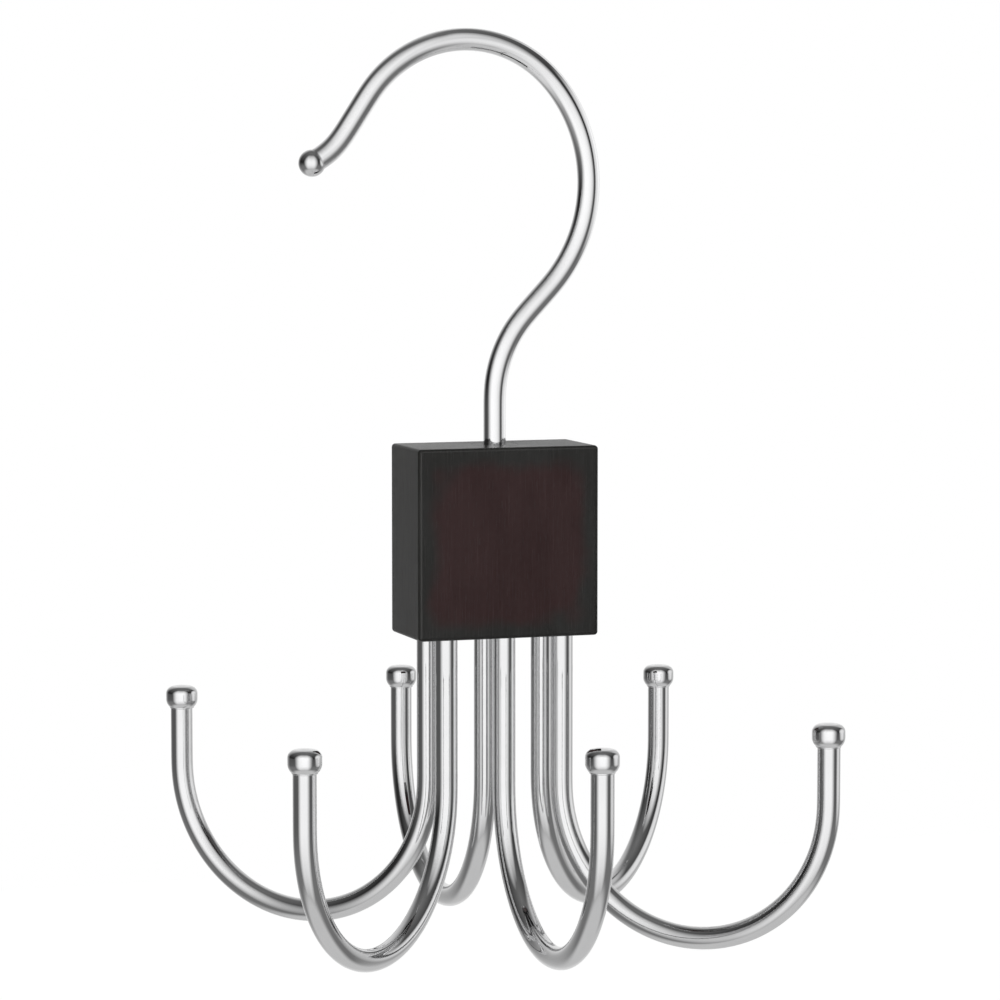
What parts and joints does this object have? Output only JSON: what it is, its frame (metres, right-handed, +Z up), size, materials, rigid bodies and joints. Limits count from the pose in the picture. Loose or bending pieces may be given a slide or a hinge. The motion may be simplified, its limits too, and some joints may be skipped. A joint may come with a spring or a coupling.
{
  "type": "rotating belt hanger",
  "caption": "Belt hanger: a chrome rail hook swivels in a small dark wooden block that carries a fan of chrome J hooks with barrel end caps.",
  "frame": {"origin": "on the swivel axis, on the underside of the top hook's crown, where the wardrobe rail carries the hanger", "axes": "+Z up along the swivel axis; +X to the right along the block's width, in the plane of the top hook; -Y towards the block's front face"},
  "size_m": [0.1194, 0.1424, 0.1935],
  "materials": {
    "chrome": "mirror-polished chrome plate on steel rod",
    "dark_wood": "espresso-black satin lacquer over close-grained wood",
    "black_acetal": "turned black acetal",
    "nylon": "natural nylon",
    "bare_steel": "plain spring steel, lightly oiled"
  },
  "bodies": {
    "top_hook": {"top_hook_rod": "chrome", "top_hook_ball": "chrome", "steel_washer": "bare_steel", "retaining_clip": "bare_steel"},
    "block": {"block": "dark_wood", "swivel_bush": "black_acetal", "slip_washer": "nylon", "belt_hook_front_left": "chrome", "belt_hook_front_middle": "chrome", "belt_hook_front_right": "chrome", "belt_hook_back_left": "chrome", "belt_hook_back_middle": "chrome", "belt_hook_back_right": "chrome", "end_cap_front_left": "chrome", "end_cap_front_middle": "chrome", "end_cap_front_right": "chrome", "end_cap_back_left": "chrome", "end_cap_back_middle": "chrome", "end_cap_back_right": "chrome"}
  },
  "joints": [
    {"name": "swivel", "type": "hinge", "parent": "top_hook", "child": "block", "pos_m": [0, 0, -0.08227], "axis": [0, 0, 1], "continuous": true}
  ]
}
